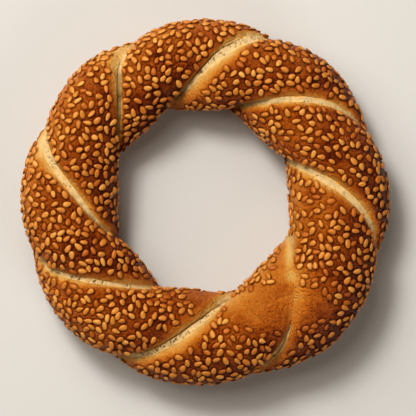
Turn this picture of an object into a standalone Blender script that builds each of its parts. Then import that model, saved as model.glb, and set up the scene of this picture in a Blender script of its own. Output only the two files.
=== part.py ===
"""Simit: two strands of bread dough twisted together and closed into a ring.

The ring lies flat on its base, with its axis along +Z and its origin at the bottom centre of
its bounding box. Angles round the ring run anticlockwise from +X, seen from above. Section
angles run from the outer side of the ring, over the top, to the hole and back underneath.
"""

import bmesh
import bpy
import numpy as np

# Centre line and half width of the section, at eight even stations from +X on. Metres.
CENTRE_RADII = (0.0544, 0.0549, 0.0561, 0.0562, 0.0554, 0.0556, 0.0549, 0.0556)
HALF_WIDTHS = (0.0202, 0.0204, 0.0183, 0.0180, 0.0198, 0.0199, 0.0189, 0.0218)
CENTRE_HEIGHT_SHARE = 0.76  # height of the section's centre above the base, over its half width
FLATNESS = 0.84  # section height over section width, before the base is cut flat
SEAM_OFFSET = 0.0026  # how far each strand's own centre stands from the section's centre

# Each seam between the strands climbs out of the outer side, crosses the crest and dives into
# the hole. These are the ring angles where it passes the three section angles below. Degrees.
SEAM_SECTION_ANGLES = (20.0, 90.0, 155.0)
SEAMS = (
    (27.9, 49.2, 70.6),
    (71.8, 88.2, 106.0),
    (118.1, 127.3, 143.8),
    (158.4, 172.0, 197.9),
    (199.8, 214.3, 236.4),
    (242.7, 259.4, 280.1),
    (289.9, 309.0, 334.1),
    (348.4, 365.4, 383.8),
)
STRANDS = 2

# Grid of the surface.
RING_STEPS = 128
STRAND_COLUMNS = 17
SEAM_SOFTNESS = 5.0  # degrees of ring over which a seam's bends are rounded
STATION_SOFTNESS = 10.0  # the same for the centre line and the width

CRUST_COLOUR = (0.30, 0.10, 0.025, 1.0)
CRUST_ROUGHNESS = 0.42


def softened(angles, xs, ys, softness):
    """Linear interpolation, averaged over a bell-shaped window along the ring."""
    offsets = np.linspace(-2.0, 2.0, 17)
    weights = np.exp(-(offsets**2) / 2.0)
    samples = [np.interp(angles + offset * softness, xs, ys) for offset in offsets]
    return np.average(samples, axis=0, weights=weights)


def round_the_ring(angles, values):
    """A closed smooth curve through values that stand at even stations round the ring."""
    turns = np.concatenate([values, values, values, values[:1]])
    stations = (np.arange(len(turns)) - len(values)) * 360.0 / len(values)
    return softened(angles, stations, turns, STATION_SOFTNESS)


def seam_line(angles, first):
    """Section angle of one strand's seam, which passes the seams first, first + 2, and so on."""
    own_seams = SEAMS[first::STRANDS]
    ring_angles = []
    section_angles = []
    for turn in (-1, 0, 1):
        for crossing, seam in enumerate(own_seams):
            wraps = turn * len(own_seams) + crossing
            ring_angles += [angle + 360.0 * turn for angle in seam]
            section_angles += [angle + 360.0 * wraps for angle in SEAM_SECTION_ANGLES]
    return softened(angles, ring_angles, section_angles, SEAM_SOFTNESS)


def strand_columns(ring_angles):
    """Section angle and place across its strand (0 to 1) of every grid column."""
    first = seam_line(ring_angles, 0)
    second = seam_line(ring_angles, 1)
    second += 360.0 * np.ceil((first - second) / 360.0)
    across = np.arange(STRAND_COLUMNS) / STRAND_COLUMNS
    one = first[:, None] + across * (second - first)[:, None]
    other = second[:, None] + across * (first + 360.0 - second)[:, None]
    return np.hstack([one, other]), np.tile(across, STRANDS)


def ring_points():
    """The ring's surface as an array of ring steps by section columns.

    Each strand is a circle whose centre is moved by SEAM_OFFSET towards the strand's own
    middle, so that the two meet in a groove. The section is then flattened, and what lies
    under the base plane is pressed flat onto it.
    """
    ring_angles = np.arange(RING_STEPS) * 360.0 / RING_STEPS
    section_angles, across = strand_columns(ring_angles)
    radius = round_the_ring(ring_angles, CENTRE_RADII)[:, None]
    half_width = round_the_ring(ring_angles, HALF_WIDTHS)[:, None]
    bulge = np.sin(np.pi * across)
    strand_radius = half_width - SEAM_OFFSET
    reach = SEAM_OFFSET * bulge + np.sqrt(strand_radius**2 - SEAM_OFFSET**2 * (1.0 - bulge**2))
    outward = radius + reach * np.cos(np.radians(section_angles))
    height = CENTRE_HEIGHT_SHARE * half_width + FLATNESS * reach * np.sin(np.radians(section_angles))
    turn = np.radians(ring_angles)[:, None]
    points = np.stack([outward * np.cos(turn), outward * np.sin(turn), height], axis=-1)
    points[..., 2] = np.maximum(points[..., 2], 0.0)
    corners = points[..., :2].reshape(-1, 2)
    points[..., :2] -= (corners.min(axis=0) + corners.max(axis=0)) / 2.0
    return points


def closed_skin(name, points):
    """One closed mesh over a grid of points that joins up both ways round."""
    steps, columns = points.shape[:2]
    step, column = np.meshgrid(np.arange(steps), np.arange(columns), indexing="ij")
    next_step = (step + 1) % steps
    next_column = (column + 1) % columns
    corners = [(step, column), (next_step, column), (next_step, next_column), (step, next_column)]
    faces = np.stack([row * columns + place for row, place in corners], axis=-1)
    mesh = bpy.data.meshes.new(name)
    mesh.from_pydata(points.reshape(-1, 3).tolist(), [], faces.reshape(-1, 4).tolist())
    shape = bmesh.new()
    shape.from_mesh(mesh)
    bmesh.ops.triangulate(shape, faces=shape.faces[:], quad_method="SHORT_EDGE")
    bmesh.ops.recalc_face_normals(shape, faces=shape.faces[:])
    shape.to_mesh(mesh)
    shape.free()
    mesh.shade_smooth()
    mesh.set_sharp_from_angle(angle=np.radians(40.0))
    return mesh


def crust_material():
    material = bpy.data.materials.new("baked_crust")
    material.use_nodes = True
    shader = material.node_tree.nodes["Principled BSDF"]
    shader.inputs["Base Color"].default_value = CRUST_COLOUR
    shader.inputs["Roughness"].default_value = CRUST_ROUGHNESS
    shader.inputs["Metallic"].default_value = 0.0
    return material


def make_simit_ring():
    mesh = closed_skin("simit_ring", ring_points())
    mesh.materials.append(crust_material())
    ring = bpy.data.objects.new("simit_ring", mesh)
    bpy.context.scene.collection.objects.link(ring)
    return ring


def main():
    for old in list(bpy.data.objects):
        bpy.data.objects.remove(old)
    make_simit_ring()


main()
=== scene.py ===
import math

import bpy
import numpy as np
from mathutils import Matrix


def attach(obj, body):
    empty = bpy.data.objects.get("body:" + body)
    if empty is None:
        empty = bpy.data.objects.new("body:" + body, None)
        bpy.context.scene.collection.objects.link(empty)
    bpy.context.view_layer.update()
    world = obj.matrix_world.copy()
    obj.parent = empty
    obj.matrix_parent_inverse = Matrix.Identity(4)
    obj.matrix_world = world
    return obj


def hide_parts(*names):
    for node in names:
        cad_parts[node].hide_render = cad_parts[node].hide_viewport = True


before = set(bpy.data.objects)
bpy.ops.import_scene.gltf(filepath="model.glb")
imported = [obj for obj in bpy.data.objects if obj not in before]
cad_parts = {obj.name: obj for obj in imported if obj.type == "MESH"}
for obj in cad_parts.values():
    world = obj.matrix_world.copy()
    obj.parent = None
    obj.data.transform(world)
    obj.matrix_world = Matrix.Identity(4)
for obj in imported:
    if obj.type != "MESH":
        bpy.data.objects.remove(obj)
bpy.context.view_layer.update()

breadNode = "simit_ring"
metre = 0.001  # every shape below is worked out in millimetres

# The view, from straight above.
view = {
    "cameraHeight": 1600.0,
    "frameWidth": 169.7,  # how much the picture spans at the level below
    "frameLevel": 15.0,
    "lookAt": (1.2, -2.5),
    "sensorWidth": 36.0,
    "clip": (0.01, 20.0),  # metres
}


def placeObject(name, data):
    # A new object at the origin, in the scene.
    placed = bpy.data.objects.new(name, data)
    bpy.context.scene.collection.objects.link(placed)
    return placed


def makeCamera(spec):
    # The lens is the sensor's width times the distance, over the width that the picture spans there.
    camera = bpy.data.cameras.new("camera")
    camera.sensor_width = spec["sensorWidth"]
    reach = spec["cameraHeight"] - spec["frameLevel"]
    camera.lens = spec["sensorWidth"] * reach / spec["frameWidth"]
    camera.dof.use_dof = False
    camera.clip_start, camera.clip_end = spec["clip"]
    holder = placeObject("camera", camera)
    holder.location = [length * metre for length in (*spec["lookAt"], spec["cameraHeight"])]
    bpy.context.scene.camera = holder


makeCamera(view)
print("camera made")

# Number helpers; these odd factors spread the bits of a whole number.
axisFactors = (73856093, 19349663, 83492791)
seedFactor, earlyFactor, lateFactor = 374761393, 2246822519, 3266489917
mostBits = 0xFFFFFFFF


def lerp(low, high, share):
    # low + share (high - low).
    return low + (high - low) * share


def ease(value, low, high):
    # 3x² - 2x³ of the share of the way from low to high.
    share = np.clip((value - low) / (high - low), 0.0, 1.0)
    return share * share * (3.0 - 2.0 * share)


def bell(value, width):
    # e^-(value / width)².
    return np.exp(-((value / width) ** 2))


def unit(vectors):
    # Each vector over its own length.
    return vectors / np.maximum(np.linalg.norm(vectors, axis=-1, keepdims=True), 1e-9)


def scrambled(cells, seed):
    # Whole-number cell indices, mixed by multiplying and shifting bits into an even spread from 0 to 1.
    mixed = np.full(cells[0].shape, seed * seedFactor + 97, dtype=np.uint64)
    for index, factor in zip(cells, axisFactors):
        mixed ^= index.astype(np.int64).astype(np.uint64) * np.uint64(factor)
        mixed ^= mixed >> np.uint64(15)
        mixed = mixed * np.uint64(earlyFactor) & np.uint64(mostBits)
    mixed ^= mixed >> np.uint64(13)
    mixed = mixed * np.uint64(lateFactor) & np.uint64(mostBits)
    mixed ^= mixed >> np.uint64(16)
    return mixed.astype(np.float64) / mostBits


def latticeNoise(points, size, seed):
    # Random values at the corners of a cubic lattice, blended by 6x⁵ - 15x⁴ + 10x³; -1 to 1.
    scaled = points / size
    corner = np.floor(scaled)
    share = scaled - corner
    share = share**3 * (share * (share * 6.0 - 15.0) + 10.0)
    total = np.zeros(points.shape[:-1])
    for step in range(8):
        move = np.array([step & 1, step >> 1 & 1, step >> 2 & 1])
        weight = np.where(move, share, 1.0 - share).prod(axis=-1)
        cells = [corner[..., axis] + move[axis] for axis in range(3)]
        total += weight * scrambled(cells, seed)
    return total * 2.0 - 1.0


def layered(points, *layers):
    # Sum of lattice noises, each given as its amount, its size and its seed.
    return sum(amount * latticeNoise(points, size, seed) for amount, size, seed in layers)


# The twisted ring, with the solid's own driving sizes.
ring = {
    "centreRadii": (54.4, 54.9, 56.1, 56.2, 55.4, 55.6, 54.9, 55.6),
    "halfWidths": (20.2, 20.4, 18.3, 18.0, 19.8, 19.9, 18.9, 21.8),
    "centreHeightShare": 0.76, "flatness": 0.84, "seamOffset": 2.6,
    "seamSectionAngles": (20.0, 90.0, 155.0),
    "seams": (
        (27.9, 49.2, 70.6),
        (71.8, 88.2, 106.0),
        (118.1, 127.3, 143.8),
        (158.4, 172.0, 197.9),
        (199.8, 214.3, 236.4),
        (242.7, 259.4, 280.1),
        (289.9, 309.0, 334.1),
        (348.4, 365.4, 383.8),
    ),
    "seamSoftness": 5.0, "stationSoftness": 10.0,
    "window": (2.0, 17),  # the softening's reach, in softnesses, and its samples
    "solidSteps": (128, 17),  # the solid's own grid
    "slopeSteps": (0.2, 0.004),  # ring degrees and strand widths
    "baseLevel": 0.16,  # how far the pressed base stands off the floor
    "baseSoftness": 0.45,
}
turnsPerStrand = len(ring["seams"]) // 2


def softened(angles, xs, ys, softness):
    # Straight-line interpolation, averaged over a bell-shaped window along the ring.
    reach, samples = ring["window"]
    offsets = np.linspace(-reach, reach, samples)
    weights = np.exp(-(offsets**2) / 2.0)
    values = [np.interp(angles + offset * softness, xs, ys) for offset in offsets]
    return np.average(values, axis=0, weights=weights)


def roundTheRing(angles, values):
    # A closed smooth curve through values at even stations.
    repeated = np.concatenate([values, values, values, values[:1]])
    stations = (np.arange(len(repeated)) - len(values)) * 360.0 / len(values)
    return softened(np.mod(angles, 360.0), stations, repeated, ring["stationSoftness"])


def evenAngles(steps):
    # Even steps round the ring, one a row.
    return np.arange(steps)[:, None] * 360.0 / steps


def seamLine(angles, line):
    # Section angle of one seam line, which gains a full turn from each of its crossings to the next.
    laps = np.floor(angles / 360.0)
    ringAngles = []
    sectionAngles = []
    for lap in (-1, 0, 1):
        for crossing, seam in enumerate(ring["seams"][line::2]):
            turned = 360.0 * (lap * turnsPerStrand + crossing)
            ringAngles += [angle + 360.0 * lap for angle in seam]
            sectionAngles += [angle + turned for angle in ring["seamSectionAngles"]]
    inLap = softened(angles - 360.0 * laps, ringAngles, sectionAngles, ring["seamSoftness"])
    return inLap + 360.0 * turnsPerStrand * laps


def seamSlope(angles, line):
    # Degrees of section that a seam line gains over one degree of ring.
    return seamLine(angles + 0.5, line) - seamLine(angles - 0.5, line)


def sectionAt(angles, place):
    # place runs 0 to 1 across one strand and 1 to 2 across the other. Each strand is a circle moved by
    # the seam offset d towards its own middle: reach = d b + sqrt(r² - d² (1 - b²)), b = sin(pi across).
    lines = [seamLine(angles, 0), seamLine(angles, 1)]
    second = lines[1] + 360.0 * np.ceil((lines[0] - lines[1]) / 360.0)
    onSecond = np.mod(np.floor(place), 2) >= 1
    across = place - np.floor(place)
    low = np.where(onSecond, second, lines[0])
    high = np.where(onSecond, lines[0] + 360.0, second)
    halfWidth = roundTheRing(angles, ring["halfWidths"])
    offset = ring["seamOffset"]
    bulge = np.sin(np.pi * across)
    reach = offset * bulge + np.sqrt((halfWidth - offset) ** 2 - offset**2 * (1.0 - bulge**2))
    section = low + across * (high - low)
    outward = roundTheRing(angles, ring["centreRadii"]) + reach * np.cos(np.radians(section))
    rise = ring["flatness"] * reach * np.sin(np.radians(section))
    height = ring["centreHeightShare"] * halfWidth + rise
    return {"lines": lines, "onSecond": onSecond, "low": low, "high": high, "section": section,
            "reach": reach, "outward": outward, "height": height}


def ringCorners(outward, angles):
    # x and y of places so far out at these ring angles.
    return outward * np.cos(np.radians(angles)), outward * np.sin(np.radians(angles))


def ringCentre():
    # Middle of the bounding box of the solid's own grid, which the solid is moved by.
    ringSteps, strandSteps = ring["solidSteps"]
    angles = evenAngles(ringSteps)
    place = np.arange(2 * strandSteps)[None, :] / strandSteps
    x, y = ringCorners(sectionAt(angles, place)["outward"], angles)
    return np.array([x.min() + x.max(), y.min() + y.max(), 0.0]) / 2.0


centreShift = ringCentre()


def skinPoint(angles, place):
    # The section point turned round the ring; what lies under the base is eased onto it by
    # (h + sqrt(h² + 4 s²)) / 2.
    spot = sectionAt(angles, place)
    above = spot["height"] - ring["baseLevel"]
    eased = ring["baseLevel"] + (above + np.sqrt(above**2 + 4.0 * ring["baseSoftness"] ** 2)) / 2.0
    x, y = ringCorners(spot["outward"], angles)
    return np.stack([x, y, eased], axis=-1) - centreShift


def skinNormal(angles, place):
    # Cross product of the skin's two slopes, taken over a small step each way.
    ringStep, placeStep = ring["slopeSteps"]
    alongRing = skinPoint(angles + ringStep, place) - skinPoint(angles - ringStep, place)
    aroundSection = skinPoint(angles, place + placeStep) - skinPoint(angles, place - placeStep)
    return unit(np.cross(alongRing, aroundSection))


# Seams, in millimetres at the rim, the crest and the hole; ahead is the side of larger ring angles.
none = (0.0, 0.0, 0.0)
seams = {
    "crumb": ((1.8, 2.0, 1.0), (6.2, 2.6, 0.8), (1.2, 1.1, 0.7), (2.8, 2.1, 0.7),
              (1.4, 1.2, 0.8), (2.2, 2.8, 1.4), (2.2, 0.0, 0.0), (1.9, 2.2, 1.7)),
    "goldAhead": ((1.5, 2.6, 1.6), (1.6, 1.2, 1.2), (4.0, 2.2, 1.0), (3.4, 1.4, 1.0),
                  (2.0, 2.2, 1.8), (2.5, 4.4, 2.4), (3.2, 2.6, 0.8), (2.4, 2.2, 1.4)),
    "goldBehind": ((1.6, 1.8, 1.2), (1.4, 3.8, 3.8), (0.8, 0.9, 1.0), (1.2, 2.0, 1.8),
                   (1.2, 1.8, 3.0), (1.8, 2.4, 2.2), (2.4, 2.0, 2.0), (1.4, 1.6, 1.6)),
    "depth": ((1.2, 1.5, 1.2), (1.0, 1.4, 1.6), (1.0, 1.2, 1.4), (1.0, 1.3, 1.3),
              (1.2, 1.4, 1.4), (1.2, 1.4, 1.3), (1.6, 0.5, 0.0), (1.3, 1.3, 1.0)),
    # from here on in shares: how many pores, and how far off the middle they and the crevice lie
    "pores": ((0.1, 0.08, 0.1), (1.0, 0.8, 0.2), (0.2, 0.2, 0.3), (0.9, 0.9, 0.4),
              (0.3, 0.6, 0.5), (0.9, 1.0, 1.0), (0.3, 0.0, 0.0), (0.1, 0.1, 0.1)),
    "poreSide": (none, (0.3, 0.5, 0.3), none, (0.1, -0.1, 0.0),
                 (-0.2, -0.2, 0.0), (-0.2, -0.3, -0.3), none, none),
    "crevice": ((0.2, 0.1, 0.5), (0.4, 0.9, 1.0), (0.3, 1.3, 1.3), (0.1, 0.2, 0.7),
                (0.4, 0.4, 0.3), (0.5, 0.8, 0.9), (0.7, 0.5, 0.0), (0.0, 0.0, 0.1)),
    "creviceSide": ((0.8, 0.8, 0.0), (0.8, 0.7, 0.4), (0.3, 0.3, 0.3), (0.4, 0.5, 0.3),
                    (-0.8, -0.8, -0.5), (-0.8, -0.75, -0.6), none, none),
    "closed": (none, none, none, none, none, none, (0.0, 0.6, 1.0), none),
    "under": {"crumb": 0.8, "goldAhead": 1.5, "goldBehind": 1.5, "depth": 0.9, "pores": 0.1,
              "poreSide": 0.0, "crevice": 0.5, "creviceSide": 0.0, "closed": 0.2},
    "stationAngles": (30.0, 90.0, 150.0, 270.0),
    "grooveSpread": 1.7,  # how far a groove's bell reaches past the crumb
    "lipHeight": 0.22, "lipWidth": 0.8,
    "lipPlace": (0.9, 0.5),  # as a share of the golden band, and past that
    "tuck": 1.6,  # how far the crust dives where the crumb covers it
    "tuckEdge": (0.35, 0.01),  # inside and past the crumb's edge
    "tuckedFrom": (0.3, 0.7),  # crumb widths over which the crust starts to dive
    "shoulderDepth": 0.9, "shoulderSpread": 3.5,
    "creaseSlope": 0.15,  # how steeply each strand falls to a seam before any groove
    "fillWidth": 3.0,
}


def seamLook(kind, line, foot):
    # Value of one look at a place along a seam line, between the stations of its crossings.
    found = []
    for number in (0, 1):
        stations = []
        values = []
        for crossing, look in enumerate(seams[kind][number::2]):
            stations += [360.0 * crossing + angle for angle in seams["stationAngles"]]
            values += [*look, seams["under"][kind]]
        found.append(np.interp(np.mod(foot, 360.0 * turnsPerStrand), stations, values,
                               period=360.0 * turnsPerStrand))
    return np.where(line == 1, found[1], found[0])


def seamField(angles, place):
    # Distance from the strand's two seams, measured square to them: section arc times b / sqrt(b² + c²),
    # where b and c are the seam's steps along the ring and round the section for one degree of ring.
    spot = sectionAt(angles, place)
    slopes = [seamSlope(angles, line) for line in (0, 1)]
    field = []
    for side, edge in (("Behind", spot["low"]), ("Ahead", spot["high"])):
        line = np.where(spot["onSecond"] == (side == "Behind"), 1, 0)
        slope = np.where(line == 1, slopes[1], slopes[0])
        arc = np.radians(spot["section"] - edge) * spot["reach"]
        ringStep = np.radians(1.0) * spot["outward"]
        sectionStep = np.radians(slope) * spot["reach"]
        stepSquared = ringStep**2 + sectionStep**2
        foot = np.where(line == 1, spot["lines"][1], spot["lines"][0])
        foot = foot + slope * arc * sectionStep / stepSquared
        seam = {kind: seamLook(kind, line, foot) for kind in ("crumb", "depth", "closed")}
        seam["gold"] = seamLook("gold" + side, line, foot)
        seam["distance"] = np.abs(arc) * ringStep / np.sqrt(stepSquared)
        field.append(seam)
    return field


def grooveLevel(distance, half, depth, closed):
    # A bell-shaped groove on a shoulder of depth e^(-q / w). A seam that has closed over has no shoulder,
    # and its crease is filled by slope times width times e^(-q / w).
    level = -depth * bell(distance, half + seams["grooveSpread"])
    sunk = seams["shoulderDepth"] * np.exp(-distance / seams["shoulderSpread"])
    filled = seams["creaseSlope"] * seams["fillWidth"] * np.exp(-distance / seams["fillWidth"])
    return level - sunk * (1.0 - closed) + filled * closed


# The crust's relief; here and below a noise is an amount, a size and a seed.
crust = {
    "lumps": (0.42, 17.0, 3),
    "dents": (0.16, 6.5, 5),
    "wrinkles": (0.14, 2.6, 7),
    "wrinkleLevel": 0.4,
    "ringSteps": 700, "columns": 116, "innerColumns": 10,
    "seamCrowding": 0.35,  # 0 spaces a strand's columns evenly, 1 crowds them at its seams
    "wallSag": 0.4,
    "restingLevel": 2.0,  # below this height the relief dies away
}


def grooveAndLip(field):
    # The groove, the tuck under the crumb, and a low bell-shaped lip where the golden band ends.
    total = 0.0
    for seam in field:
        half = seam["crumb"] / 2.0
        total = total + grooveLevel(seam["distance"], half, seam["depth"], seam["closed"])
        inside, past = seams["tuckEdge"]
        tucked = 1.0 - ease(seam["distance"], half - inside, half + past)
        total = total - seams["tuck"] * tucked * ease(seam["crumb"], *seams["tuckedFrom"])
        lipAt = half + seam["gold"] * seams["lipPlace"][0] + seams["lipPlace"][1]
        lip = seams["lipHeight"] * bell(seam["distance"] - lipAt, seams["lipWidth"])
        total = total + lip * (1.0 - seam["closed"])
    return total


def relief(point, field):
    # Lumps, dents, wrinkles of a level less |noise|, and the grooves; it all fades on the base.
    height, size, seed = crust["wrinkles"]
    wrinkles = height * (crust["wrinkleLevel"] - np.abs(latticeNoise(point, size, seed)))
    lumps = layered(point, crust["lumps"], crust["dents"])
    shown = ease(point[..., 2], 0.0, crust["restingLevel"])
    return (lumps + wrinkles + grooveAndLip(field)) * shown


def crustPoint(angles, place):
    # The skin moved along its own normal by the relief.
    point = skinPoint(angles, place)
    height = relief(point, seamField(angles, place))
    return point + skinNormal(angles, place) * height[..., None]


def strandPlaces():
    # Columns across a strand, crowded towards both seams by a cosine.
    even = np.linspace(0.0, 1.0, crust["columns"])
    crowded = (1.0 - np.cos(np.pi * even)) / 2.0
    return lerp(even, crowded, crust["seamCrowding"])


# Where the crust is bare or baked less.
bare = {
    # middle across and up, half width and half height of where no seeds lie
    "seedless": ((29.8, -43.9, 21.3, 9.2), (32.8, -33.5, 4.8, 8.0),
                 (33.4, -23.0, 3.6, 10.5), (-1.0, -38.8, 6.0, 3.6)),
    # and of where the crust is baked less, with how much of the full bake is left
    "lighter": ((28.0, -41.0, 26.0, 13.0, 0.76), (34.2, -22.0, 2.1, 11.5, 0.42),
                (38.6, -30.4, 5.0, 4.0, 0.58), (30.0, -30.0, 6.0, 4.5, 0.76),
                (39.0, -38.5, 3.0, 6.0, 0.85)),
    "seedlessEdge": (0.85, 1.2),  # where an ellipse starts and ends to fade, over its own size
    "lighterEdge": (0.2, 1.5),
    "ragged": (0.22, 5.0, 11),
    "heights": (12.0, 18.0),  # the patches are on the top only
}


def insideEllipse(point, ellipse, edge):
    # 1 where sqrt(x² + y²), in half sizes, is under the edge's start, easing to 0 at its end.
    x, y, halfWidth, halfHeight = ellipse
    away = np.hypot((point[..., 0] - x) / halfWidth, (point[..., 1] - y) / halfHeight)
    away = away + layered(point, bare["ragged"])
    return (1.0 - ease(away, *edge)) * ease(point[..., 2], *bare["heights"])


def bareness(point):
    # The most that any seedless ellipse gives.
    edge = bare["seedlessEdge"]
    return np.max([insideEllipse(point, ellipse, edge) for ellipse in bare["seedless"]], axis=0)


def lighterBake(point):
    # Product of what each lighter ellipse leaves of the full bake.
    share = np.ones(point.shape[:-1])
    for *ellipse, level in bare["lighter"]:
        share = share * lerp(1.0, level, insideEllipse(point, ellipse, bare["lighterEdge"]))
    return share


# How brown the crust bakes; its flanks that face the light are also painted paler and those that face away
# browner, as painted light and shade.
bakeAndPaintedShade = {
    "level": 0.72,
    "blotches": ((0.12, 10.0, 21), (0.08, 3.5, 23)),
    "crestShare": 0.10,  # how much browner the crests are than the flanks
    "crestSlopes": (0.55, 1.0),
    "litSide": (-0.87, 0.49, 0.0),  # the way the flanks that face the light point; they are painted paler, as painted light
    "paintedShadeStrength": 0.39,
    "goldSpread": 1.3,  # the gold fades out this much past where the seeds begin
    "goldEdge": ((0.45, 4.0, 25), (0.25, 1.3, 27)),
    "leastGold": 0.3,
    # shares of the way over the golden band, and the bake there
    "gold": ((-0.4, 0.0, 0.35, 0.7, 1.1, 1.7), (0.14, 0.24, 0.40, 0.61, 0.85, 1.0)),
    "lowShare": 0.72,  # how much of the bake is left low down
    "lowHeights": (1.0, 9.0),
}


def awayFromLight(normal):
    # From -1 on flanks that face the lit side to 1 on those that face away from it; it paints light and
    # shade into the colour.
    return -(normal @ np.array(bakeAndPaintedShade["litSide"]))


def bakeLevel(point, normal, field):
    # How brown the crust is: the bake's level, with painted shade on flanks that face away from the light
    # and painted light on those that face it, times a share by the crumb, low down and where bare.
    level = bakeAndPaintedShade["level"] + layered(point, *bakeAndPaintedShade["blotches"]) + bakeAndPaintedShade["paintedShadeStrength"] * awayFromLight(normal)
    level = level + bakeAndPaintedShade["crestShare"] * ease(normal[..., 2], *bakeAndPaintedShade["crestSlopes"])
    ragged = layered(point, *bakeAndPaintedShade["goldEdge"])
    for seam in field:
        band = np.maximum(seam["gold"] * bakeAndPaintedShade["goldSpread"], bakeAndPaintedShade["leastGold"])
        beyond = (seam["distance"] + ragged - seam["crumb"] / 2.0) / band
        pale = np.interp(beyond, *bakeAndPaintedShade["gold"])
        level = level * lerp(pale, 1.0, seam["closed"])
    level = level * lerp(bakeAndPaintedShade["lowShare"], 1.0, ease(point[..., 2], *bakeAndPaintedShade["lowHeights"]))
    return level * lighterBake(point)


# Sesame seeds: where they lie.
sesame = {
    "length": (2.95, 3.9),
    "width": (1.95, 2.6),
    "thickness": (0.95, 1.25),
    "smallShare": 0.07, "smallScale": 0.78,
    "tries": 16000,
    "cells": (360, 80),  # round the ring and across a strand, for the draw by area
    "density": 0.75, "leastDensity": 0.1,
    "patchiness": (0.5, 9.0, 31),
    "litSideShare": 0.25,  # how much denser they lie towards the lit side of the ring
    "clearOfSeam": 0.75, "seamEdge": (0.6, 0.5), "bareEdge": (0.15, 0.6),
    "baseShare": 0.35,  # density on the pressed base
    "baseHeights": (0.8, 2.5),
    "circlePlaces": (-0.26, 0.0, 0.27),  # three circles along a seed keep it clear of the others
    "circleRadii": (0.40, 0.50, 0.36),
    "spacing": 0.93,  # below 1 lets neighbours' edges touch and lap
    "reach": 4.2,  # seeds further apart than this can't touch
    "glazedShare": 0.16, "glazedWhereBare": 0.6, "paleShare": 0.16,
    "randomSeed": 41,
}


def seedDensity(angles, place, point):
    # None at the seams and in the bare patches, fewer on the base, patchy elsewhere.
    density = sesame["density"] + layered(point, sesame["patchiness"])
    density = np.clip(density, sesame["leastDensity"], 1.0)
    density = density * (1.0 + sesame["litSideShare"] * (unit(point) @ np.array(bakeAndPaintedShade["litSide"])))
    before, after = sesame["seamEdge"]
    for seam in seamField(angles, place):
        free = seam["crumb"] / 2.0 + seam["gold"] + sesame["clearOfSeam"]
        density = density * ease(seam["distance"], free - before, free + after)
    density = density * (1.0 - ease(bareness(point), *sesame["bareEdge"]))
    return density * lerp(sesame["baseShare"], 1.0, ease(point[..., 2], *sesame["baseHeights"]))


def drawSpots(random):
    # Ring angles and places drawn by the area of their cell times the density there.
    ringCells, strandCells = sesame["cells"]
    ringStep = 360.0 / ringCells
    ringAngles = evenAngles(ringCells)
    places = (np.arange(2 * strandCells)[None, :] + 0.5) / strandCells
    corner = skinPoint(ringAngles, places)
    overRing = skinPoint(ringAngles + ringStep, places) - corner
    overPlace = skinPoint(ringAngles, places + 1.0 / strandCells) - corner
    area = np.linalg.norm(np.cross(overRing, overPlace), axis=-1)
    weight = (area * seedDensity(ringAngles, places, corner)).ravel()
    cell = random.choice(weight.size, sesame["tries"], p=weight / weight.sum())
    angles = (cell // (2 * strandCells) + random.uniform(0.0, 1.0, cell.size)) * ringStep
    return angles, (cell % (2 * strandCells) + random.uniform(0.0, 1.0, cell.size)) / strandCells


def keepClear(point, circles, radii):
    # Numbers of the seeds whose circles clear those of all the seeds kept before them.
    kept = np.zeros(len(point), int)
    count = 0
    for number in range(len(point)):
        near = np.abs(point[kept[:count]] - point[number]).max(axis=1) < sesame["reach"]
        near = kept[:count][near]
        gaps = np.linalg.norm(circles[near][:, :, None, :] - circles[number], axis=-1)
        needed = (radii[near][:, :, None] + radii[number]) * sesame["spacing"]
        if not (gaps < needed).any():
            kept[count] = number
            count += 1
    return kept[:count]


def scatterSeeds(random):
    # Seeds at drawn spots, turned at random about the skin's normal, thinned out until none overlap.
    angles, place = drawSpots(random)
    point = crustPoint(angles, place)
    up = skinNormal(angles, place)
    spin = random.uniform(0.0, 2.0 * np.pi, angles.size)
    side = unit(np.cross(up, [0.0, 0.0, 1.0]) + 1e-4)
    heading = side * np.cos(spin)[:, None] + np.cross(up, side) * np.sin(spin)[:, None]
    length = random.uniform(*sesame["length"], angles.size)
    width = random.uniform(*sesame["width"], angles.size)
    small = random.uniform(0.0, 1.0, angles.size) < sesame["smallShare"]
    length = np.where(small, length * sesame["smallScale"], length)
    along = length[:, None, None] * np.array(sesame["circlePlaces"])[None, :, None]
    circles = point[:, None, :] + heading[:, None, :] * along
    kept = keepClear(point, circles, width[:, None] * np.array(sesame["circleRadii"])[None, :])
    draw = random.uniform(0.0, 1.0, kept.size)
    glazed = sesame["glazedShare"] + sesame["glazedWhereBare"] * (bareness(point[kept]) > 0.01)
    kind = np.where(draw < glazed, 2, np.where(draw < glazed + sesame["paleShare"], 1, 0))
    return {"angles": angles[kept], "place": place[kept], "point": point[kept], "up": up[kept],
            "heading": heading[kept], "length": length[kept], "width": width[kept], "kind": kind,
            "thickness": random.uniform(*sesame["thickness"], kept.size)}


seeds = scatterSeeds(np.random.default_rng(sesame["randomSeed"]))
print("sesame seeds placed:", len(seeds["kind"]))


# Meshes.
def gridFaces(rows, columns, closed):
    # Four corners of every cell of a grid whose columns join up, and its rows too where it is closed.
    row, column = np.meshgrid(np.arange(rows if closed else rows - 1), np.arange(columns), indexing="ij")
    nextRow = (row + 1) % rows
    nextColumn = (column + 1) % columns
    corners = [(row, column), (row, nextColumn), (nextRow, nextColumn), (nextRow, column)]
    return np.stack([r * columns + c for r, c in corners], axis=-1).reshape(-1, 4)


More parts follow.
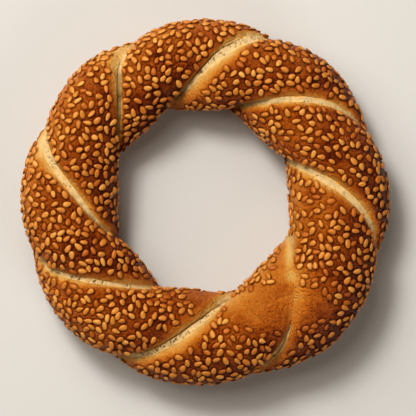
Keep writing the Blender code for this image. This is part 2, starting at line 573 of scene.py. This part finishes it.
def makeMesh(name, points, quads, triangles, attributes):
    # Points in millimetres, each with attributes of one number or one vector.
    mesh = bpy.data.meshes.new(name)
    points = points.reshape(-1, 3)
    loops = np.concatenate([quads.ravel(), triangles.ravel()])
    sizes = np.concatenate([np.full(len(quads), 4), np.full(len(triangles), 3)])
    mesh.vertices.add(len(points))
    mesh.vertices.foreach_set("co", (points * metre).astype(np.float32).ravel())
    mesh.loops.add(len(loops))
    mesh.loops.foreach_set("vertex_index", loops.astype(np.int32))
    mesh.polygons.add(len(sizes))
    mesh.polygons.foreach_set("loop_start", (np.cumsum(sizes) - sizes).astype(np.int32))
    mesh.update(calc_edges=True)
    for key, values in attributes.items():
        kind, field = ("FLOAT_VECTOR", "vector") if values.ndim == 2 else ("FLOAT", "value")
        layer = mesh.attributes.new(key, kind, "POINT")
        layer.data.foreach_set(field, values.astype(np.float32).ravel())
    mesh.shade_smooth()
    return mesh


def makeTube(name, surface, hidden, looks):
    # The surface's columns, which have the looks, and then the hidden ones, joined up both ways.
    points = np.concatenate([surface, hidden], axis=1)
    attributes = {}
    for key, values in looks.items():
        pad = [(0, 0), (0, hidden.shape[1]), (0, 0)][:values.ndim]
        fill = grains["hiddenBake"] if key == "bake" else 0.0
        values = np.pad(values, pad, constant_values=fill)
        attributes[key] = values.reshape(-1, *values.shape[2:])
    quads = gridFaces(*points.shape[:2], True)[:, ::-1]
    return makeMesh(name, points, quads, np.zeros((0, 3), int), attributes)


def sharpenColumns(mesh, columnCount, sharpColumns):
    # Marks as sharp the edges that run along these columns of a grid.
    ends = np.zeros(len(mesh.edges) * 2, np.int32)
    mesh.edges.foreach_get("vertices", ends)
    column = ends.reshape(-1, 2) % columnCount
    sharp = (column[:, 0] == column[:, 1]) & np.isin(column[:, 0], sharpColumns)
    layer = mesh.attributes.new("sharp_edge", "BOOLEAN", "EDGE")
    layer.data.foreach_set("value", sharp)


def makePiece(mesh, material, replaced=()):
    # An object that rides on the bread.
    mesh.materials.append(material)
    piece = placeObject(mesh.name, mesh)
    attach(piece, "root")
    if replaced:
        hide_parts(*replaced)


# Materials.
def newMaterial(name):
    # A material with one shader, and the place that its noises are read at.
    material = bpy.data.materials.new(name)
    material.use_nodes = True
    tree = material.node_tree
    tree.nodes.clear()
    shader = tree.nodes.new("ShaderNodeBsdfPrincipled")
    output = tree.nodes.new("ShaderNodeOutputMaterial")
    tree.links.new(shader.outputs["BSDF"], output.inputs["Surface"])
    place = tree.nodes.new("ShaderNodeTexCoord").outputs["Object"]
    return material, tree, shader, place


def addNode(tree, kind, settings=None, **inputs):
    # A node whose inputs, by name or as _number, are numbers or other nodes' outputs.
    node = tree.nodes.new(kind)
    for key, value in (settings or {}).items():
        setattr(node, key, value)
    for key, value in inputs.items():
        socket = node.inputs[int(key[1:]) if key[0] == "_" else key]
        if isinstance(value, bpy.types.NodeSocket):
            tree.links.new(value, socket)
        else:
            socket.default_value = value
    return node


def mathNode(tree, operation, first, second=0.0, third=0.0, clamp=False):
    # One sum of up to three numbers.
    settings = {"operation": operation, "use_clamp": clamp}
    return addNode(tree, "ShaderNodeMath", settings, _0=first, _1=second, _2=third).outputs[0]


def scaled(tree, value, factor, added=0.0, clamp=False):
    # value times factor plus added.
    return mathNode(tree, "MULTIPLY_ADD", value, factor, added, clamp)


def attributeOf(tree, name, output="Fac"):
    # What the mesh carries at each point under this name.
    return addNode(tree, "ShaderNodeAttribute", {"attribute_name": name}).outputs[output]


def noiseOf(tree, vector, scale, detail, roughness):
    # Cloudy noise from 0 to 1.
    return addNode(tree, "ShaderNodeTexNoise", Vector=vector, Scale=scale, Detail=detail,
                   Roughness=roughness).outputs["Fac"]


def rampOf(tree, value, stops):
    # A colour ramp with (place, (red, green, blue)) stops in linear light.
    node = addNode(tree, "ShaderNodeValToRGB", _0=value)
    elements = node.color_ramp.elements
    while len(elements) < len(stops):
        elements.new(0.5)
    for element, (place, colour) in zip(elements, stops):
        element.position = place
        element.color = (*colour, 1.0)
    return node.outputs["Color"]


def mixColour(tree, share, first, second):
    # first + share (second - first).
    node = addNode(tree, "ShaderNodeMix", {"data_type": "RGBA"})
    for index, value in ((0, share), (6, first), (7, second)):
        if isinstance(value, bpy.types.NodeSocket):
            tree.links.new(value, node.inputs[index])
        else:
            node.inputs[index].default_value = (*value, 1.0)
    return node.outputs[2]


def finishLook(tree, shader, look, colour, height):
    # The colour under a glaze, with the shading tilted by the slope of a height.
    tree.links.new(colour, shader.inputs["Base Color"])
    shader.inputs["Specular IOR Level"].default_value = look["specular"]
    shader.inputs["Specular Tint"].default_value = (*look["glazeTint"], 1.0)
    strength, distance = look["bump"]
    bump = addNode(tree, "ShaderNodeBump", Strength=strength, Distance=distance, Height=height)
    tree.links.new(bump.outputs["Normal"], shader.inputs["Normal"])


bakeColours = (
    (0.00, (0.58, 0.415, 0.205)),
    (0.10, (0.66, 0.45, 0.200)),
    (0.20, (0.72, 0.405, 0.108)),
    (0.36, (0.79, 0.29, 0.038)),
    (0.54, (0.68, 0.182, 0.016)),
    (0.74, (0.43, 0.087, 0.0055)),
    (0.92, (0.23, 0.034, 0.0022)),
    (1.00, (0.13, 0.016, 0.0015)),
)
crustLook = {
    "noises": {  # scale, detail and roughness; the streak follows the strand
        "streak": (1.3, 4.0, 0.6),
        "blotch": (300.0, 4.0, 0.6),
        "speck": (950.0, 4.0, 0.65),
        "web": (480.0, 5.0, 0.6),
        "fine": (2200.0, 2.0, 0.6),
    },
    "mottleLevel": -0.87,
    # the web's share paints the low ground between its raised lines darker, as painted shade
    "mottle": {"streak": 0.34, "fine": 0.5, "blotch": 0.34, "speck": 0.36, "web": 0.45},
    "mottleByBake": 1.25,
    "shadeBake": 0.12,  # how the crust darkens round a seed, in bake and in colour: painted contact shade, partly glaze pooled at the seed's edge
    "shadeShare": 0.5,
    "shadeColour": (0.06, 0.008, 0.0015),
    "roughness": (0.3, 0.17),  # times the blotches, plus
    "specular": 0.34, "glazeTint": (1.0, 0.76, 0.58),
    "height": {"speck": 1.0, "streak": 0.1, "web": -1.2, "fine": 0.7},
    "heightByBake": (1.6, 0.1),
    "bump": (1.0, 0.0020),  # strength and distance
}
crumbLook = {
    "streak": (1.6, 4.0, 0.6),
    "fine": (1500.0, 3.0, 0.6),
    "grainShare": 0.2, "grainLevel": -0.18,
    "holes": (1250.0, 2.0, 0.5),
    "holeContrast": (5.0, -2.7),
    # the holes and the pores are painted dark olive-brown, as painted shade in the pits and the crevice
    "holeShare": 0.45, "holeColour": (0.28, 0.155, 0.045),
    "poreShare": 0.74, "poreColour": (0.16, 0.075, 0.014),
    "roughness": 0.62, "specular": 0.1, "glazeTint": (1.0, 1.0, 1.0),
    "bump": (0.5, 0.0003),
}


def crustMaterial(look):
    # The ramp of bake + bake times mottle, a sum of noises; the web is |2 noise - 1|, which wrinkles, and
    # its share of the mottle paints the wrinkles' low ground darker and their raised lines lighter, as
    # painted shade.
    material, tree, shader, place = newMaterial("baked_crust")
    grain = attributeOf(tree, "grain", "Vector")
    bake = attributeOf(tree, "bake")
    shade = attributeOf(tree, "seedGlazeAndShade")
    noises = {name: noiseOf(tree, grain if name == "streak" else place, *values)
              for name, values in look["noises"].items()}
    noises["web"] = mathNode(tree, "ABSOLUTE", scaled(tree, noises["web"], 2.0, -1.0))
    mottle = look["mottleLevel"]
    for name, share in look["mottle"].items():
        mottle = scaled(tree, noises[name], share, mottle)
    strength = scaled(tree, bake, look["mottleByBake"])
    level = scaled(tree, mottle, strength, bake)
    # Painted contact shade, partly pooled glaze, darkens the crust round each seed.
    level = scaled(tree, shade, look["shadeBake"], level, clamp=True)
    colour = rampOf(tree, level, bakeColours)
    shadeShare = scaled(tree, shade, look["shadeShare"])
    colour = mixColour(tree, shadeShare, colour, look["shadeColour"])
    rough = scaled(tree, noises["blotch"], *look["roughness"])
    tree.links.new(rough, shader.inputs["Roughness"])
    height = noises["blotch"]
    for name, share in look["height"].items():
        height = scaled(tree, noises[name], share, height)
    fade = scaled(tree, bake, *look["heightByBake"], clamp=True)
    finishLook(tree, shader, look, colour, scaled(tree, height, fade))
    return material


def crumbMaterial(look):
    # Pale stretched crumb on the same ramp, golden towards its edges, with painted shade darkening its
    # pores, its crevice and small noise holes olive-brown.
    material, tree, shader, place = newMaterial("split_crumb")
    streak = noiseOf(tree, attributeOf(tree, "grain", "Vector"), *look["streak"])
    fine = noiseOf(tree, place, *look["fine"])
    level = scaled(tree, streak, look["grainShare"], attributeOf(tree, "bake"))
    level = scaled(tree, fine, look["grainShare"], level)
    level = scaled(tree, level, 1.0, look["grainLevel"], clamp=True)
    colour = rampOf(tree, level, bakeColours)
    holes = noiseOf(tree, place, *look["holes"])
    holes = scaled(tree, holes, *look["holeContrast"], clamp=True)
    for dark, name in ((holes, "hole"), (attributeOf(tree, "pore"), "pore")):
        share = scaled(tree, dark, look[name + "Share"])
        colour = mixColour(tree, share, colour, look[name + "Colour"])
    shader.inputs["Roughness"].default_value = look["roughness"]
    finishLook(tree, shader, look, colour, scaled(tree, streak, 1.0, fine))
    return material


baked = crustMaterial(crustLook)
crumbed = crumbMaterial(crumbLook)

# Strands, pressed by the seeds; edges and places are in half sizes of a seed.
pressed = {
    "rows": 9,  # how many grid rows and strand widths a seed can reach
    "across": 0.11,
    "height": 2.0,
    "shadeEdge": (1.02, 1.55),
    "moatAt": 1.12, "moatWidth": 0.24, "moatDepth": 0.2, "moatHeights": (0.5, 2.0),
}
grains = {
    "ringRadius": 55.0,
    "strandWidth": math.pi * 19.0,
    "crustStretch": 6.0, "crumbStretch": 5.0,
    "hiddenBake": 0.1,
}


def pressSeeds(strand, angles, places, surface):
    # Each seed darkens the crust round it, as painted contact shade and partly as glaze pooled at its edge,
    # and sits in a shallow moat: both follow the elliptical distance sqrt((u / a)² + (v / b)²) from its
    # middle.
    shade = np.zeros(surface.shape[:-1])
    moat = np.zeros(surface.shape[:-1])
    rows = len(angles)
    for number in np.nonzero(np.floor(seeds["place"]) == strand)[0]:
        middleRow = int(round(seeds["angles"][number] / 360.0 * rows))
        window = np.arange(middleRow - pressed["rows"], middleRow + pressed["rows"] + 1) % rows
        across = seeds["place"][number] - strand
        first, last = np.searchsorted(places, (across - pressed["across"], across + pressed["across"]))
        away = surface[window, first:last] - seeds["point"][number]
        heading = seeds["heading"][number]
        u = away @ heading
        v = away @ np.cross(seeds["up"][number], heading)
        apart = np.hypot(u / (seeds["length"][number] / 2.0), v / (seeds["width"][number] / 2.0))
        tall = np.abs(away @ seeds["up"][number]) < pressed["height"]
        block = np.ix_(window, np.arange(first, last))
        darker = (1.0 - ease(apart, *pressed["shadeEdge"])) * tall
        shade[block] = np.maximum(shade[block], darker)
        moat[block] = np.maximum(moat[block], bell(apart - pressed["moatAt"], pressed["moatWidth"]) * tall)
    return shade, moat


def grainVector(angles, across, stretch):
    # A circle of the ring's angle, shrunk by the stretch, and the distance across.
    x, y = ringCorners(grains["ringRadius"] / stretch, angles)
    return np.stack(np.broadcast_arrays(x, y, across), axis=-1)


def makeStrand(strand):
    # The skin plus the relief along its normal, less the moats, closed by a hidden wall.
    angles = evenAngles(crust["ringSteps"])
    places = strandPlaces()
    # The places stop just short of the next strand.
    place = strand + np.clip(places, 0.0, 1.0 - 1e-6)[None, :]
    skin = skinPoint(angles, place)
    field = seamField(angles, place)
    normal = skinNormal(angles, place)
    surface = skin + normal * relief(skin, field)[..., None]
    shade, moat = pressSeeds(strand, angles[:, 0], places, surface)
    moat = pressed["moatDepth"] * moat * ease(skin[..., 2], *pressed["moatHeights"])
    surface = surface - normal * moat[..., None]
    back = np.linspace(0.0, 1.0, crust["innerColumns"] + 2)[1:-1][None, :, None]
    wall = surface[:, -1:, :] * (1.0 - back) + surface[:, :1, :] * back
    middle = surface[:, crust["columns"] // 2, :][:, None, :]
    sag = unit(middle - wall.mean(axis=1, keepdims=True)) * crust["wallSag"]
    wall = wall + sag * np.sin(np.pi * back)
    grain = grainVector(angles, places[None, :] * grains["strandWidth"], grains["crustStretch"])
    looks = {"bake": bakeLevel(skin, normal, field), "seedGlazeAndShade": shade, "grain": grain}
    mesh = makeTube("strand_" + ("one", "two")[strand], surface, wall, looks)
    sharpenColumns(mesh, crust["columns"] + crust["innerColumns"], (0, crust["columns"] - 1))
    makePiece(mesh, baked, (breadNode,))


for strand in (0, 1):
    makeStrand(strand)
print("strands made")

# Crumb in the split seams.
crumb = {
    "ringSteps": 2600, "columns": 30,
    "widthChange": (0.22, 3.1, 59),
    "lineShift": 50.0,  # how far apart the two lines read it
    "margin": 0.35,  # added to half the crumb's width
    "overhang": 1.25,  # how far the ribbon runs past the crumb's edge, over half its width
    "leastHalf": 0.05,
    "crown": 0.06, "crownReach": 2.0,
    "edgeFall": 0.9,  # slope of the ribbon past the crumb's edge
    "fibres": (0.12, 1.0, 51),
    "fibreSqueeze": (2.0, 2.0, 2.4),
    "ragged": (0.16, 1.4, 53),
    "poreLength": 0.86, "poreWidth": 0.5, "poreDepth": 0.6,
    "poreRadius": (0.2, 0.6, 2.5),  # least, spread and how rare the wide ones are
    "poreRim": (0.35, 1.0),
    "poreSeed": 61, "poreChance": 0.9, "poreLevel": 0.7, "porePatches": (0.8, 5.0, 55),
    "poreSpread": (0.4, 1.1),  # over half the crumb's width
    "poreEnd": (0.7, 1.0),
    "creviceWidth": 0.3, "creviceDepth": 1.0, "creviceSpread": 0.5, "creviceWander": (0.25, 3.0, 63),
    "leastShown": 0.12,  # a narrower half hides the crumb, this far under the crust
    "hiddenDrop": 0.4,
    "baseLevel": 0.2, "baseDrop": 0.15, "rootDepth": 2.2,
    "bake": ((0.0, 0.5, 0.85, 1.2), (0.0, 0.03, 0.12, 0.28)),  # from the middle over the edge
    "bakeBlotches": (0.08, 3.0, 57),
    "stains": (0.1, 1.2, 65), "stainEdge": (0.2, 0.9),
}


def porePits(along, across, density, seed):
    # Round pits in a lattice of cells, stretched along the seam: 1 at a pit's middle, 0 past its rim.
    cellsRound = int(round(along.max() / crumb["poreLength"]))
    gridX, gridY = np.broadcast_arrays(along / along.max() * cellsRound, across / crumb["poreWidth"])
    baseX, baseY = np.floor(gridX), np.floor(gridY)
    least, spread, rarity = crumb["poreRadius"]
    pit = np.zeros(gridX.shape)
    for stepX, stepY in ((x, y) for x in (-1, 0, 1) for y in (-1, 0, 1)):
        cellX = np.mod(baseX + stepX, cellsRound)
        cells = [cellX, baseY + stepY, np.zeros_like(cellX)]
        jitterX, jitterY, size, chance = [scrambled(cells, seed + draw) for draw in range(4)]
        apart = np.hypot(gridX - (baseX + stepX + jitterX), gridY - (baseY + stepY + jitterY))
        deep = 1.0 - ease(apart / (least + spread * size**rarity), *crumb["poreRim"])
        pit = np.maximum(pit, np.where(chance < density * crumb["poreChance"], deep, 0.0))
    return pit


def crumbRibbon(line):
    # Columns at even distances from a seam line: arc = distance times sqrt(b² + c²) / b, with b and c
    # as in seamField.
    angles = evenAngles(crumb["ringSteps"])
    foot = seamLine(angles, line)
    lines = np.full(foot.shape, line)
    look = {kind: seamLook(kind, lines, foot) for kind in
            ("crumb", "depth", "closed", "pores", "poreSide", "crevice", "creviceSide")}
    spots = np.stack([angles, angles * 0.0, angles * 0.0 + line * crumb["lineShift"]], axis=-1)
    half = look["crumb"] / 2.0 * (1.0 + layered(spots, crumb["widthChange"]))
    across = np.linspace(-1.0, 1.0, crumb["columns"])[None, :] * (half + crumb["margin"]) * crumb["overhang"]
    onSeam = sectionAt(angles, np.full(angles.shape, float(line)))
    below = sectionAt(angles, np.full(angles.shape, line - 0.5))
    ringStep = np.radians(1.0) * onSeam["outward"]
    sectionStep = np.radians(seamSlope(angles, line)) * onSeam["reach"]
    seamStep = np.sqrt(ringStep**2 + sectionStep**2)
    turn = np.degrees(across * seamStep / ringStep / onSeam["reach"])
    strandTurn = np.where(turn >= 0.0, onSeam["high"] - onSeam["low"], below["high"] - below["low"])
    place = line + turn / strandTurn
    return look, {
        "half": half,
        "across": across,
        "along": np.cumsum(seamStep * 360.0 / crumb["ringSteps"], axis=0),
        "stretch": np.abs(across) / np.maximum(half, crumb["leastHalf"]),
        "grain": grainVector(angles, across, grains["crumbStretch"]),
        "skin": skinPoint(angles, place),
        "normal": skinNormal(angles, place),
    }


def crumbPores(look, ribbon):
    # Pits that keep to one side of the ribbon, thinned by noise, and a bell-shaped crevice.
    half, across, skin = ribbon["half"], ribbon["across"], ribbon["skin"]
    offSide = np.abs(across / np.maximum(half, crumb["leastHalf"]) + look["poreSide"])
    patches = np.clip(crumb["poreLevel"] + layered(skin, crumb["porePatches"]), 0.0, 1.0)
    share = look["pores"] * patches * (1.0 - ease(offSide, *crumb["poreSpread"]))
    pits = porePits(ribbon["along"], across, share, crumb["poreSeed"])
    pits = pits * (1.0 - ease(ribbon["stretch"], *crumb["poreEnd"]))
    splitAt = layered(skin, crumb["creviceWander"]) - look["creviceSide"] * half
    splitWidth = crumb["creviceWidth"] * (crumb["creviceSpread"] + look["crevice"])
    return pits, look["crevice"] * bell(across - splitAt, splitWidth)


def crumbLevel(look, ribbon, pits, split):
    # The groove's level at the crumb's edge, with a crown 1 - s² that falls off past it, fibres and
    # raggedness of noise, less the pores and the crevice.
    half, stretch = ribbon["half"], ribbon["stretch"]
    edgeLevel = grooveLevel(half, half, look["depth"], look["closed"])
    top = edgeLevel + crumb["crown"] * (1.0 - np.minimum(stretch, crumb["crownReach"]) ** 2)
    top = top - crumb["edgeFall"] * np.maximum(np.abs(ribbon["across"]) - half, 0.0)
    top = top + layered(ribbon["grain"] * np.array(crumb["fibreSqueeze"]), crumb["fibres"])
    top = top + layered(ribbon["skin"], crumb["ragged"]) - pits * crumb["poreDepth"]
    top = top - np.minimum(split, 1.0) * crumb["creviceDepth"]
    return np.where(half > crumb["leastShown"], top, np.minimum(top, edgeLevel - crumb["hiddenDrop"]))


def makeCrumb(line):
    # The ribbon's skin moved along its normal by its level, with a root under it that closes it.
    look, ribbon = crumbRibbon(line)
    skin, normal, stretch = ribbon["skin"], ribbon["normal"], ribbon["stretch"]
    pits, split = crumbPores(look, ribbon)
    top = crumbLevel(look, ribbon, pits, split)
    shown = ease(skin[..., 2], crumb["baseLevel"], crust["restingLevel"])
    surface = skin + normal * (top * shown - crumb["baseDrop"] * (1.0 - shown))[..., None]
    root = surface[:, [-1, 0], :] - normal[:, [-1, 0], :] * crumb["rootDepth"]
    bake = np.interp(stretch, *crumb["bake"]) + layered(skin, crumb["bakeBlotches"])
    bake = bake + layered(skin, crumb["stains"]) * ease(stretch, *crumb["stainEdge"])
    # The pits and the crevice are also darkened in colour, as painted shade.
    looks = {"bake": bake, "pore": np.maximum(pits, split), "grain": ribbon["grain"]}
    makePiece(makeTube("crumb_seam_" + ("one", "two")[line], surface, root, looks), crumbed)


for line in (0, 1):
    makeCrumb(line)
print("crumb seams made")

# Sesame seeds: their shape and their looks.
seedShape = {
    "grid": (6, 8),  # rings along a seed and corners round each
    "taper": (0.06, 0.36),
    "bluntness": 2.1,
    "thinning": (0.8, 0.25),  # towards both ends, and at the pointed one
    "tilt": 8.0,
    "rim": (0.55, -0.75),  # how dark the rim is, and the change from there to the top; the darker rim and underside are partly toasting and partly painted contact shade
    "tipRim": 0.7,
    "tone": (1.6, 2.2), "mostTone": 1.2, "paintedShadeTone": 0.35,
}
sesameLook = {
    "mottle": (1600.0, 3.0, 0.65),
    "mottleContrast": (1.3, -0.5),
    "rimPower": 1.3, "rimShare": 0.9,
    "specular": 0.36, "glazeTint": (1.0, 0.66, 0.38),
    "bump": (0.6, 0.0003),
}
seedKinds = (  # name, share of the thickness in the crust, roughness, and colours: middle, rim (toasting and painted contact shade), toasted
    ("sesame_golden", 0.31, 0.29, (0.585, 0.24, 0.046), (0.155, 0.029, 0.0035), (0.43, 0.135, 0.019)),
    ("sesame_pale", 0.31, 0.29, (0.65, 0.31, 0.074), (0.20, 0.043, 0.005), (0.54, 0.215, 0.040)),
    ("sesame_glazed", 0.62, 0.36, (0.46, 0.14, 0.018), (0.14, 0.024, 0.003), (0.32, 0.078, 0.010)),
)


def sesameMaterial(look, name, roughness, middle, edge, toasted):
    # Golden in the middle, darker towards the rim, partly toasting and partly painted contact shade; each
    # seed toasted by its own tone, which also carries painted shade on flanks that face away from the light.
    material, tree, shader, place = newMaterial(name)
    mottle = noiseOf(tree, place, *look["mottle"])
    body = mixColour(tree, attributeOf(tree, "tone"), middle, toasted)
    rim = mathNode(tree, "POWER", attributeOf(tree, "rim"), look["rimPower"])
    colour = mixColour(tree, scaled(tree, rim, look["rimShare"]), body, edge)
    toasting = scaled(tree, mottle, *look["mottleContrast"], clamp=True)
    colour = mixColour(tree, toasting, colour, toasted)
    shader.inputs["Roughness"].default_value = roughness
    finishLook(tree, shader, look, colour, mottle)
    return material


def seedTemplate(rings, around):
    # Places along a seed, by a cosine, and round it, with one point at each end.
    along = -np.cos(np.pi * np.arange(1, rings + 1) / (rings + 1))
    turn = 2.0 * np.pi * np.arange(around) / around
    u = np.concatenate([[-1.0], np.repeat(along, around), [1.0]])
    v = np.concatenate([[0.0], np.tile(turn, rings), [0.0]])
    quads = gridFaces(rings, around, False) + 1
    spoke = np.arange(around)
    after = (spoke + 1) % around
    last = 1 + (rings - 1) * around
    fans = (spoke * 0, 1 + after, 1 + spoke), (spoke * 0 + last + around, last + spoke, last + after)
    return u, v, quads, np.concatenate([np.stack(fan, axis=-1) for fan in fans])


def makeSeeds(name, chosen, material, sunkShare, random):
    # A flat teardrop, half width (1 - |u|^p)^½ (1 - t u), tilted a little and sunk into the crust.
    u, v, quads, triangles = seedTemplate(*seedShape["grid"])
    count = chosen.size
    taper = random.uniform(*seedShape["taper"], count)[:, None]
    body = np.sqrt(np.maximum(1.0 - np.abs(u) ** seedShape["bluntness"], 0.0))
    halfSizes = [seeds[key][chosen][:, None] / 2.0 for key in ("length", "width", "thickness")]
    endThinning, tipThinning = seedShape["thinning"]
    x = halfSizes[0] * u
    y = halfSizes[1] * body * (1.0 - taper * u) * np.cos(v)
    z = halfSizes[2] * body**endThinning * (1.0 - tipThinning * taper * u) * np.sin(v)
    local = np.stack([x, y, z], axis=-1)
    tilt = np.radians(random.normal(0.0, seedShape["tilt"], (count, 2)))
    up = seeds["up"][chosen]
    heading = seeds["heading"][chosen]
    side = np.cross(up, heading)
    up = unit(up + heading * np.tan(tilt[:, :1]) + side * np.tan(tilt[:, 1:]))
    side = unit(np.cross(up, heading))
    axes = np.stack([np.cross(side, up), side, up], axis=1)
    lift = (seeds["thickness"][chosen] * (0.5 - sunkShare))[:, None]
    middle = seeds["point"][chosen] + seeds["up"][chosen] * lift
    points = np.einsum("nvi,nij->nvj", local, axes) + middle[:, None, :]
    points[..., 2] = np.maximum(points[..., 2], 0.0)
    steps = np.arange(count)[:, None, None] * len(u)
    allQuads = (quads[None] + steps).reshape(-1, 4)
    allTriangles = (triangles[None] + steps).reshape(-1, 3)
    # The rim darkens the edges and underside: partly toasted edges, partly painted contact shade.
    rimLevel, rimChange = seedShape["rim"]
    rim = np.clip(rimLevel + rimChange * np.sin(v), 0.0, 1.0)
    rim = np.broadcast_to(np.where(body > 0.02, rim, seedShape["tipRim"]), (count, len(u)))
    tone = random.beta(*seedShape["tone"], count)
    # Seeds on flanks that face away from the light get a darker tone, as painted shade.
    tone = tone + seedShape["paintedShadeTone"] * awayFromLight(seeds["up"][chosen])
    tone = np.broadcast_to(np.clip(tone, 0.0, seedShape["mostTone"])[:, None], (count, len(u)))
    attributes = {"tone": tone.ravel(), "rim": rim.ravel()}
    makePiece(makeMesh(name, points, allQuads, allTriangles, attributes), material)


seedRandom = np.random.default_rng(sesame["randomSeed"] + 1)
for number, (name, sunk, *looks) in enumerate(seedKinds):
    chosen = np.nonzero(seeds["kind"] == number)[0]
    makeSeeds(name, chosen, sesameMaterial(sesameLook, name, *looks), sunk, seedRandom)
print("sesame seeds made")

# Floor and light.
studio = {
    "floorHalfSize": 1.6,
    "floorDrop": 0.00002,
    "floorColour": (0.565, 0.543, 0.51), "floorRoughness": 0.85,
    "cloud": (26.0, 4.0, 0.6), "cloudShare": 0.015,
    "lightDistance": 1.5,
    "lights": (  # name, azimuth, elevation, width, power and colour
        ("key", 121.0, 52.0, 0.45, 14.0, (0.99, 0.99, 0.99)),
        ("spread", 131.0, 49.0, 1.7, 19.5, (1.0, 0.97, 0.92)),
        ("fill", 310.0, 26.0, 0.8, 6.0, (1.0, 0.98, 0.95)),
    ),
    "skyColour": (1.0, 0.84, 0.66), "skyStrength": 0.08,
    "look": "Medium High Contrast",
}


def makeFloor(spec):
    # A pale square, clouded by a little noise.
    half = spec["floorHalfSize"]
    corners = [(-half, -half, 0.0), (half, -half, 0.0), (half, half, 0.0), (-half, half, 0.0)]
    mesh = bpy.data.meshes.new("floor")
    mesh.from_pydata(corners, [], [(0, 1, 2, 3)])
    material, tree, shader, place = newMaterial("pale_floor")
    cloud = noiseOf(tree, place, *spec["cloud"])
    base = np.array(spec["floorColour"])
    darker, lighter = tuple(base * (1.0 - spec["cloudShare"])), tuple(base * (1.0 + spec["cloudShare"]))
    tree.links.new(mixColour(tree, cloud, darker, lighter), shader.inputs["Base Color"])
    shader.inputs["Roughness"].default_value = spec["floorRoughness"]
    mesh.materials.append(material)
    floor = placeObject("floor", mesh)
    floor.location.z = -spec["floorDrop"]


def makeLights(spec):
    # Disks that face the origin from the light distance away, and a weak even sky.
    for name, azimuth, elevation, size, power, colour in spec["lights"]:
        light = bpy.data.lights.new(name, "AREA")
        light.shape = "DISK"
        light.size = size
        light.energy = power
        light.color = colour
        lamp = placeObject(name, light)
        tilt = math.radians(elevation)
        x, y = ringCorners(spec["lightDistance"] * math.cos(tilt), azimuth)
        lamp.location = (x, y, spec["lightDistance"] * math.sin(tilt))
        lamp.rotation_euler = (math.pi / 2.0 - tilt, 0.0, math.radians(azimuth) + math.pi / 2.0)
    world = bpy.data.worlds.new("studio")
    world.use_nodes = True
    background = world.node_tree.nodes["Background"]
    background.inputs["Color"].default_value = (*spec["skyColour"], 1.0)
    background.inputs["Strength"].default_value = spec["skyStrength"]
    bpy.context.scene.world = world
    settings = bpy.context.scene.view_settings
    settings.view_transform = "Standard"
    settings.look = spec["look"]


makeFloor(studio)
makeLights(studio)
print("floor and lights made")
